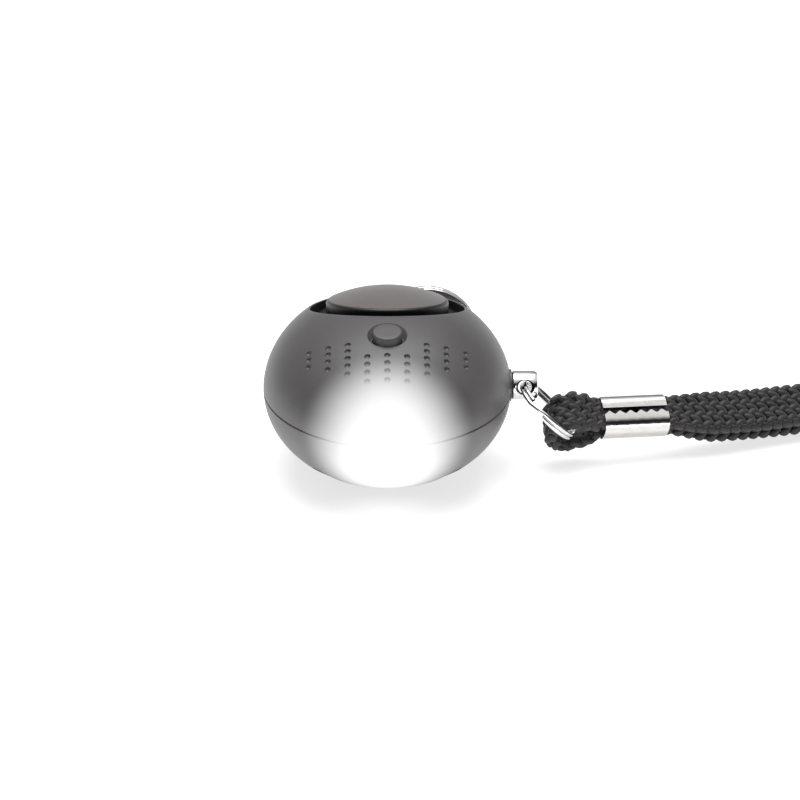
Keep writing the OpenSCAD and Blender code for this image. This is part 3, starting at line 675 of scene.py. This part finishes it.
# %% Split ring and key ring
def coil(centre, first, second, radius, layer, section, start, step):
    """Two turns of wire with a section of (outwards, sideways) points; layer is half the turns' spacing."""
    first = Vector(first).normalized()
    normal = first.cross(Vector(second)).normalized()
    second = normal.cross(first)
    turns = [start + step + i / 180 * (4 * math.pi - 2 * step) for i in range(181)]
    stations = [(turns[0], 0.0)] + [(turn, 1.0) for turn in turns] + [(turns[-1], 0.0)]

    def spot(round_turn, station):
        turn, size = station
        u, v = section(round_turn)
        over = (turn - start - 2 * math.pi) / step
        level = layer * max(-1.0, min(1.0, over))
        way = first * math.cos(turn) + second * math.sin(turn)
        return Vector(centre) + way * (radius + u * size) + normal * (level + v * size)

    return fold_grid(16, stations, spot)


SPLIT_D = 11.4
SPLIT_WIRE = 0.7
RING_DIR = Vector((0.689, -0.204, -0.695))
RING_ALONG = Vector((0.12, 0.978, -0.168))
RING_SAG = 0.25


def round_wire(turn):
    """Section of the split ring's wire."""
    return SPLIT_WIRE / 2 * math.cos(turn), SPLIT_WIRE / 2 * math.sin(turn)


ring_bm = coil(
    cross_spot + RING_DIR * (SPLIT_D / 2 - RING_SAG), RING_DIR, RING_ALONG, SPLIT_D / 2, SPLIT_WIRE * 0.48,
    round_wire, math.radians(-108), math.radians(16))
RING = add_piece("split_ring_coil", ring_bm, CHROME, "ring", "bright_plating", "split_ring")
crisp(RING, 50)

low, high = box_of("key_ring")
KEY_WIRE = (1.6, 1.0)
KEY_R = (high[2] - low[2] - KEY_WIRE[0]) / 2
key_centre = [(a + b) / 2 for a, b in zip(low, high)]


def flat_wire(turn):
    """Section of the key ring's flattened wire, a rounded oblong."""
    u = math.copysign(abs(math.cos(turn)) ** 0.4, math.cos(turn))
    v = math.copysign(abs(math.sin(turn)) ** 0.4, math.sin(turn))
    return KEY_WIRE[0] / 2 * u, KEY_WIRE[1] / 2 * v


key_bm = coil(
    key_centre, (1, 0, 0), (0, 0, 1), KEY_R, KEY_WIRE[1] / 2, flat_wire, math.radians(-60), math.radians(14))
KEY_RING = add_piece("key_ring_coil", key_bm, CHROME, "key", "bright_plating", "key_ring")
crisp(KEY_RING, 50)

# %% [markdown]
# ## Crimp
# The crimp is one piece of sheet, rolled round both strands of the strap. Its edges meet along the middle of
# the upper face, where one edge is cut in teeth.

# %% Crimp
CRIMP_START = Vector((34.4, 0.9, 7.7))
CRIMP_TURN = (math.radians(40), math.radians(3.6), math.radians(15.2))
CRIMP_L = 11
CRIMP_W = 6.9
CRIMP_T = 5.3
CRIMP_ROUND = 2.3
CRIMP_SHEET = 0.4
SLIT = 0.9
TOOTH = 0.7
TOOTH_PITCH = 1.8
TOOTH_STEPS = 6
CRIMP_MATRIX = Matrix.Translation(CRIMP_START)
for angle, axis in zip(reversed(CRIMP_TURN), "ZYX"):
    CRIMP_MATRIX = CRIMP_MATRIX @ Matrix.Rotation(angle, 4, axis)


def rounded_section(distance):
    """Point at a distance round the crimp's section, counted from the middle of its upper face."""
    flat_w = CRIMP_W - 2 * CRIMP_ROUND
    flat_t = CRIMP_T - 2 * CRIMP_ROUND
    bend = CRIMP_ROUND * math.pi / 2
    ways = ((1, 1), (1, -1), (-1, -1), (-1, 1))
    corners = [(flat_w / 2 * side, flat_t / 2 * level) for side, level in ways]
    flats = [flat_w / 2, flat_t, flat_w, flat_t, flat_w / 2]
    heading = math.pi / 2
    for i in range(5):
        way = Vector((math.sin(heading), -math.cos(heading)))
        if distance <= flats[i] or i == 4:
            start = Vector(corners[i - 1]) if i else Vector((0, flat_t / 2))
            face = Vector((math.cos(heading), math.sin(heading))) * CRIMP_ROUND
            return start + face + way * distance
        distance -= flats[i]
        if distance <= bend:
            turn = heading - distance / CRIMP_ROUND
            return Vector(corners[i]) + Vector((math.cos(turn), math.sin(turn))) * CRIMP_ROUND
        distance -= bend
        heading -= math.pi / 2


CRIMP_ROUNDWAY = 2 * (CRIMP_W + CRIMP_T - 4 * CRIMP_ROUND) + 2 * math.pi * CRIMP_ROUND


def crimp_point(turn, along):
    """Places one point of the rolled sheet; the far edge is cut in teeth."""
    phase = along / TOOTH_PITCH % 1.0
    tooth = TOOTH * abs(2 * phase - 1)
    first = SLIT / 2
    last = CRIMP_ROUNDWAY - SLIT / 2 - tooth + TOOTH / 2
    across, up = rounded_section(first + (last - first) * turn / (2 * math.pi))
    return CRIMP_MATRIX @ Vector((along, across, up))


crimp_rows = int(CRIMP_L / TOOTH_PITCH * TOOTH_STEPS)
crimp_bm = fold_grid(56, [CRIMP_L * i / crimp_rows for i in range(crimp_rows + 1)], crimp_point)
bmesh.ops.solidify(crimp_bm, geom=crimp_bm.faces, thickness=CRIMP_SHEET * MM)
CRIMP = add_piece("strap_crimp_sheet", crimp_bm, NICKEL, "strap", "nickel_sheet", "strap_crimp")
crisp(CRIMP, 40)

# %% [markdown]
# ## Black knitted strap
# The real strap is a knitted polyester tube, pressed flat. It leaves the crimp, makes a small eye through
# the split ring, goes back through the crimp and then round the wrist loop. It is one length of cord, so it
# is one piece here too, swept along the points of its route.
# The knit shows as rows of V stitches, so the strap is a plain core with plump little yarn leaves on it,
# two for each stitch. Painted stitches would look flat at the edges of the strap.

# %% Yarn finish
# Textured polyester yarn: dull black, with a soft sheen from its many fine filaments
YARN, tree, yarn = new_finish("black_polyester_yarn")
place = add(tree, "ShaderNodeTexCoord").outputs["Object"]
# Filaments are drawn at 0.12 mm, much coarser than they are, so that they show
strands = add(tree, "ShaderNodeTexNoise", [("Vector", place), ("Scale", per_mm(0.12)), ("Detail", 2.0)])
shade = wander(tree, place, 2.5, "#1d1b1d", "#353235", 0.75)[1]
fuzz = add(
    tree, "ShaderNodeBump",
    [("Height", strands.outputs["Fac"]), ("Distance", 0.06 * MM), ("Strength", 0.6)])
tree.links.new(shade, yarn.inputs["Base Color"])
tree.links.new(fuzz.outputs["Normal"], yarn.inputs["Normal"])
yarn.inputs["Roughness"].default_value = 0.5
yarn.inputs["Sheen Weight"].default_value = 0.25
yarn.inputs["Sheen Roughness"].default_value = 0.4
yarn.inputs["Specular IOR Level"].default_value = 0.35
print("finish:", YARN.name)

# %% Route of the strap
# Points are millimetres along, across and up, and the roll of the strap's width in degrees; the eye's also
# have how much wider the strap is there than in the crimp
EYE_ROUTE = [
    (34.4, 0.3, 8.5, 40, 0), (32.4, -0.5, 9.3, 44, 0.6), (30, -1.4, 10, 48, 0.8), (28, -1.8, 9.7, 46, 0.8),
    (26.6, -1.6, 8.4, 36, 0.8), (26.2, -1.1, 6.8, 20, 0.2), (26.9, -0.4, 4.9, 4, -0.6),
    (28.6, 0.2, 3.8, -4, -1.2), (30.4, 0.6, 3.9, -5, -1), (32.2, 1, 4.5, 8, -0.8),
    (33.5, 1.4, 5.7, 24, -0.4), (34.4, 1.6, 6.9, 40, 0)]
LOOP_ROUTE = [
    (45.1, 4.4, 6.2, 40), (53, 7.1, 4.7, 38), (61, 10.3, 3.9, 38), (70, 13.8, 3.5, 40),
    (82, 18, 4, 58), (95, 22.5, 4.1, 80), (112, 27.5, 4, 90), (132, 32, 4, 90), (152, 34.8, 4, 90),
    (168, 35, 4, 90), (180, 31.4, 4, 90), (187, 24, 4, 90), (187.6, 15.5, 4, 90), (181.5, 8.4, 4, 90),
    (170, 5, 4, 90), (152, 5, 4, 90), (132, 7, 4, 90), (112, 10, 4, 90), (95, 12.8, 4.3, 78),
    (82, 14.4, 5, 58), (70, 12.1, 5.5, 40), (61, 8.7, 5.9, 38), (53, 5.5, 6.7, 38), (45.1, 3.1, 7.8, 40)]
# The two ends of the strap meet inside the crimp
FIRST_END = (39.2, 1.5, 8.2, 40, 0)
LAST_END = (40.4, 1.9, 8.1, 40, 0)
STRAP_ROUTE = [FIRST_END] + EYE_ROUTE + [point + (0,) for point in LOOP_ROUTE] + [LAST_END]


def spline(a, b, c, d, t):
    """Smooth curve from b to c; a and d are the points before and after."""
    square = 2 * a - 5 * b + 4 * c - d
    cube = 3 * b - a - 3 * c + d
    return 0.5 * (2 * b + (c - a) * t + square * t * t + cube * t ** 3)


def smooth_route(points, steps):
    """Runs the curve through listed points, so many steps to a stretch."""
    p = [Vector(q) for q in points]
    last = len(p) - 1
    run = []
    for i in range(last):
        for k in range(steps):
            run.append(spline(p[max(i - 1, 0)], p[i], p[i + 1], p[min(i + 2, last)], k / steps))
    return run + [p[last]]


fine = smooth_route(STRAP_ROUTE, 24)
spots = [Vector(q[:3]) * MM for q in fine]
rolls = [q[3] for q in fine]
extras = [q[4] * MM for q in fine]
reach = [0.0]
for before, after in zip(spots, spots[1:]):
    reach.append(reach[-1] + (after - before).length)
STRAP_LENGTH = reach[-1]
print("strap runs", round(STRAP_LENGTH / MM, 1), "mm from end to end")

# %% Strap section and frame along the route
STRAP_W = 7.6 * MM
STRAP_T = 2.4 * MM
EYE_PRESSED = 0.4 * MM
GATHERED_W = 5.6 * MM
WIDENING = 7 * MM
CRIMP_OUT = 45.1 * MM


def strap_at(distance):
    """Place, along, across and out ways, width and thickness of the strap at a distance along it."""
    distance = min(max(distance, 0.0), STRAP_LENGTH)
    low = 0
    high = len(reach) - 1
    while high - low > 1:
        middle = (low + high) // 2
        if reach[middle] <= distance:
            low = middle
        else:
            high = middle
    share = (distance - reach[low]) / max(reach[high] - reach[low], 1e-9)
    spot = spots[low].lerp(spots[high], share)
    roll = math.radians(rolls[low] + (rolls[high] - rolls[low]) * share)
    along = (spots[min(low + 2, len(spots) - 1)] - spots[max(low - 2, 0)]).normalized()
    lean = Vector((0, math.cos(roll), math.sin(roll)))
    across = (lean - along * lean.dot(along)).normalized()
    out = along.cross(across)
    opened = min(max((spot.x - CRIMP_OUT) / WIDENING, 0.0), 1.0)
    wider = extras[low] + (extras[high] - extras[low]) * share
    width = GATHERED_W + wider + (STRAP_W - GATHERED_W) * opened
    return spot, along, across, out, width, STRAP_T - EYE_PRESSED * (1 - opened)


def round_ended(width, thickness, share):
    """Point and outward direction at a share of the way round a flat section with round ends."""
    radius = thickness / 2
    flat = width - thickness
    bend = math.pi * radius
    q = (share % 1.0) * 2 * (flat + bend)
    if q < flat:
        return (q - flat / 2, radius), (0.0, 1.0)
    q -= flat
    if q < bend:
        turn = math.pi / 2 - q / radius
        return (flat / 2 + radius * math.cos(turn), radius * math.sin(turn)), (math.cos(turn), math.sin(turn))
    q -= bend
    if q < flat:
        return (flat / 2 - q, -radius), (0.0, -1.0)
    turn = -math.pi / 2 - (q - flat) / radius
    return (-flat / 2 + radius * math.cos(turn), radius * math.sin(turn)), (math.cos(turn), math.sin(turn))


# %% Core of the strap
CORE_INSET = 0.55 * MM
CORE_STEP = 1.2 * MM
CORE_SIDES = 14
strap_bm = bmesh.new()
core_rings = []
for i in range(int(STRAP_LENGTH / CORE_STEP) + 1):
    spot, along, across, out, width, thick = strap_at(i * CORE_STEP)
    ring = []
    for k in range(CORE_SIDES):
        u, v = round_ended(width - 2 * CORE_INSET, thick - 2 * CORE_INSET, k / CORE_SIDES)[0]
        ring.append(strap_bm.verts.new(spot + across * u + out * v))
    core_rings.append(ring)
for ring, following in zip(core_rings, core_rings[1:]):
    for k in range(CORE_SIDES):
        n = (k + 1) % CORE_SIDES
        strap_bm.faces.new((ring[k], ring[n], following[n], following[k]))
strap_bm.faces.new(core_rings[0][::-1])
strap_bm.faces.new(core_rings[-1])
print("core has", len(core_rings), "rings")

# %% Stitches of the strap
WALES = 8
STITCH_PITCH = 1.95 * MM
LEAF_LENGTH = 2.5 * MM
LEAF_WIDTH = 1.35 * MM
LEAF_HEIGHT = 1.2 * MM
LEAF_TURN = math.radians(30)
LEAF_DEPTH = 0.52 * MM
# How far the two leaves of a stitch lie from its middle, as a share of its width
LEAF_APART = 0.24
leaf_bm = bmesh.new()
bmesh.ops.create_uvsphere(leaf_bm, u_segments=8, v_segments=6, radius=0.5)
leaf_bm.transform(Matrix.Rotation(math.pi / 2, 4, "Y"))
leaf_bm.transform(Matrix.Diagonal((LEAF_LENGTH, LEAF_WIDTH, LEAF_HEIGHT, 1)))
leaf = bpy.data.meshes.new("leaf")
leaf_bm.to_mesh(leaf)
leaf_bm.free()
stitches = 0
for row in range(int(STRAP_LENGTH / STITCH_PITCH)):
    for wale in range(WALES):
        for side in (-1, 1):
            shift = STITCH_PITCH * 0.5 * (wale % 2)
            distance = row * STITCH_PITCH + shift + 0.5 * LEAF_LENGTH
            spot, along, across, out, width, thick = strap_at(distance)
            share = (wale + 0.5 + side * LEAF_APART) / WALES
            (u, v), (nu, nv) = round_ended(width - 2 * LEAF_DEPTH, thick - 2 * LEAF_DEPTH, share)
            up = across * nu + out * nv
            sideways = up.cross(along)
            turned = Matrix.Rotation(side * LEAF_TURN, 3, up)
            length_way = turned @ along
            width_way = turned @ sideways
            centre = spot + across * u + out * v
            placed = Matrix((length_way, width_way, up)).transposed().to_4x4()
            placed.translation = centre
            leaf.transform(placed)
            strap_bm.from_mesh(leaf)
            leaf.transform(placed.inverted())
            stitches += 1
bpy.data.meshes.remove(leaf)
STRAP = add_piece(
    "wrist_strap", strap_bm, YARN, "strap", "strap_black", "strap_eye", "strap_neck", "wrist_loop")
print("strap has", stitches, "yarn leaves")

# %% [markdown]
# ## Pieces inside the case
# These pieces stay as the frame made them and only get their finishes: each is a tone that wanders between
# two colours at the size of its own grain.


# %% Finishes of the inner pieces
def inner_finish(name, dark, light, grain, roughness, metallic=0.0, lit=0.0):
    """A tone between two colours on a grain of so many millimetres."""
    material, tree, surface = new_finish(name)
    place = add(tree, "ShaderNodeTexCoord").outputs["Object"]
    tree.links.new(wander(tree, place, grain, dark, light)[1], surface.inputs["Base Color"])
    surface.inputs["Roughness"].default_value = roughness
    surface.inputs["Metallic"].default_value = metallic
    surface.inputs["Emission Color"].default_value = linear("#ffffff")
    surface.inputs["Emission Strength"].default_value = lit
    return material


BLACK = inner_finish("black_moulding", "#141414", "#1c1c1c", 0.6, 0.45)
BRASS = inner_finish("rolled_brass", "#b8923c", "#c9a650", 0.8, 0.3, metallic=1.0)
STEEL = inner_finish("drawn_steel", "#a9a9a8", "#bfbfbe", 0.7, 0.32, metallic=1.0)
ZINC = inner_finish("zinc_plating", "#8d8f92", "#a6a8ab", 0.5, 0.38, metallic=1.0)
# The diode is on, so its clear resin is lit from within
DIODE = inner_finish("lit_diode", "#f4f4ea", "#fbfbf4", 1.0, 0.2, lit=6.0)
CERAMIC = inner_finish("fired_ceramic", "#d8d4c8", "#e4e1d6", 0.4, 0.6)
FOAM = inner_finish("black_foam", "#26262a", "#3a3a40", 0.3, 0.9)
BOARD = inner_finish("green_lacquer", "#1c4f2c", "#235c35", 2.0, 0.35)
FERRITE = inner_finish("wound_ferrite", "#3a2a1e", "#6a4426", 0.4, 0.5)
LEAD = inner_finish("red_lead", "#8e1515", "#a51d1d", 1.0, 0.4)
INNER = {
    BLACK: ["switch_body", "switch_plunger", "pin_tip", "sounder_ring", "driver_chip", "cell_tray"],
    BRASS: ["contact_leaf_upper", "contact_leaf_lower", "piezo_plate"],
    STEEL: ["cell_1", "cell_2", "cell_3"],
    NICKEL: ["cell_plate", "cell_leaf"],
    CHROME: ["reflector"],
    CASE_GREY: ["key_lug", "pin_socket"],
    ZINC: ["case_screws"],
    DIODE: ["lamp_led"],
    CERAMIC: ["piezo_ceramic"],
    FOAM: ["sounder_gasket"],
    BOARD: ["circuit_board"],
    FERRITE: ["step_up_coil"],
    LEAD: ["sounder_leads", "cell_lead"]}
for material, names in INNER.items():
    for name in names:
        NODES[name].data.materials.clear()
        NODES[name].data.materials.append(material)
        crisp(NODES[name])
print("inner pieces finished:", sum(len(names) for names in INNER.values()))

# %% [markdown]
# ## Floor and light
# The alarm stands on a white table in a light tent. The floor is a plain diffuse white with a little light
# of its own, so that it reaches white where nothing shades it and still keeps the soft shadow.

# %% Floor
TABLE_HALF = 3
floor_bm = bmesh.new()
bmesh.ops.create_grid(floor_bm, x_segments=1, y_segments=1, size=TABLE_HALF)
FLOOR, tree, table = new_finish("white_table")
table.inputs["Base Color"].default_value = linear("#c8c8c8")
table.inputs["Roughness"].default_value = 0.9
table.inputs["Specular IOR Level"].default_value = 0.0
table.inputs["Emission Color"].default_value = linear("#ffffff")
table.inputs["Emission Strength"].default_value = 0.72
floor_mesh = bpy.data.meshes.new("floor")
floor_bm.to_mesh(floor_mesh)
floor_bm.free()
floor_mesh.materials.append(FLOOR)
floor = bpy.data.objects.new("floor", floor_mesh)
bpy.context.scene.collection.objects.link(floor)
print("floor laid")

# %% [markdown]
# The tent is drawn in the world: bright above, with a darker band round it, and open to a dark room at the
# front. The camera sees plain white. Metal mirrors the tent at full strength, and dull surfaces get less
# of it, because the soft box above does most of their lighting.

# %% Tent
world = bpy.data.worlds.new("tent")
bpy.context.scene.world = world
world.use_nodes = True
tree = world.node_tree
way = add(tree, "ShaderNodeTexCoord").outputs["Generated"]
rise = add(tree, "ShaderNodeSeparateXYZ", [("Vector", way)]).outputs["Z"]
band = add(tree, "ShaderNodeValToRGB", [("Fac", rise)])
band.color_ramp.elements[0].color = linear("#dedede")
band.color_ramp.elements[1].color = linear("#ffffff")
band.color_ramp.elements[1].position = 0.7
for height, tone in ((0.16, "#dedede"), (0.3, "#888888"), (0.48, "#888888")):
    stop = band.color_ramp.elements.new(height)
    stop.color = linear(tone)
lean = add(tree, "ShaderNodeVectorMath", [(0, way), (1, (0, 0.5, 0.9))], operation="DOT_PRODUCT")
front = add(
    tree, "ShaderNodeMapRange",
    [("Value", lean.outputs["Value"]), ("From Min", 0.0), ("From Max", 0.6),
     ("To Min", 0.05), ("To Max", 1.0)])
bright = add(
    tree, "ShaderNodeMath", [(0, band.outputs["Color"]), (1, front.outputs["Result"])], operation="MULTIPLY")
rays = add(tree, "ShaderNodeLightPath").outputs
seen = add(
    tree, "ShaderNodeMath", [(0, rays["Is Camera Ray"]), (1, rays["Is Transmission Ray"])],
    operation="MAXIMUM")
FILL = 0.45
share = add(tree, "ShaderNodeMapRange", [("Value", rays["Is Glossy Ray"]), ("To Min", FILL), ("To Max", 1.0)])
tent = add(
    tree, "ShaderNodeMath", [(0, bright.outputs[0]), (1, share.outputs["Result"])], operation="MULTIPLY")
strength = add(tree, "ShaderNodeMath", [(0, tent.outputs[0]), (1, seen.outputs[0])], operation="MAXIMUM")
tree.links.new(strength.outputs[0], tree.nodes["Background"].inputs["Strength"])
tree.nodes["Background"].inputs["Color"].default_value = linear("#ffffff")
print("tent drawn")


# %% Lamps
def soft_box(name, size, power, place, target):
    """Adds a large soft lamp that faces a target."""
    lamp = bpy.data.lights.new(name, "AREA")
    lamp.shape = "RECTANGLE"
    lamp.size, lamp.size_y = size
    lamp.energy = power
    holder = bpy.data.objects.new(name, lamp)
    holder.location = place
    holder.rotation_euler = (Vector(target) - Vector(place)).to_track_quat("-Z", "Y").to_euler()
    holder.visible_camera = False
    bpy.context.scene.collection.objects.link(holder)


soft_box("tent_top", (0.5, 0.5), 3.6, (0, 0.05, 0.55), (0, 0, 0))
# The lamp's own light comes back from the table and lifts the lower half of the egg
soft_box("table_bounce", (0.2, 0.04), 0.05, (0, -0.04, 0.0005), (0, -0.04, 0.1))
print("light: a white tent with one soft box above and light from the table")

# %% End
print("scene built")
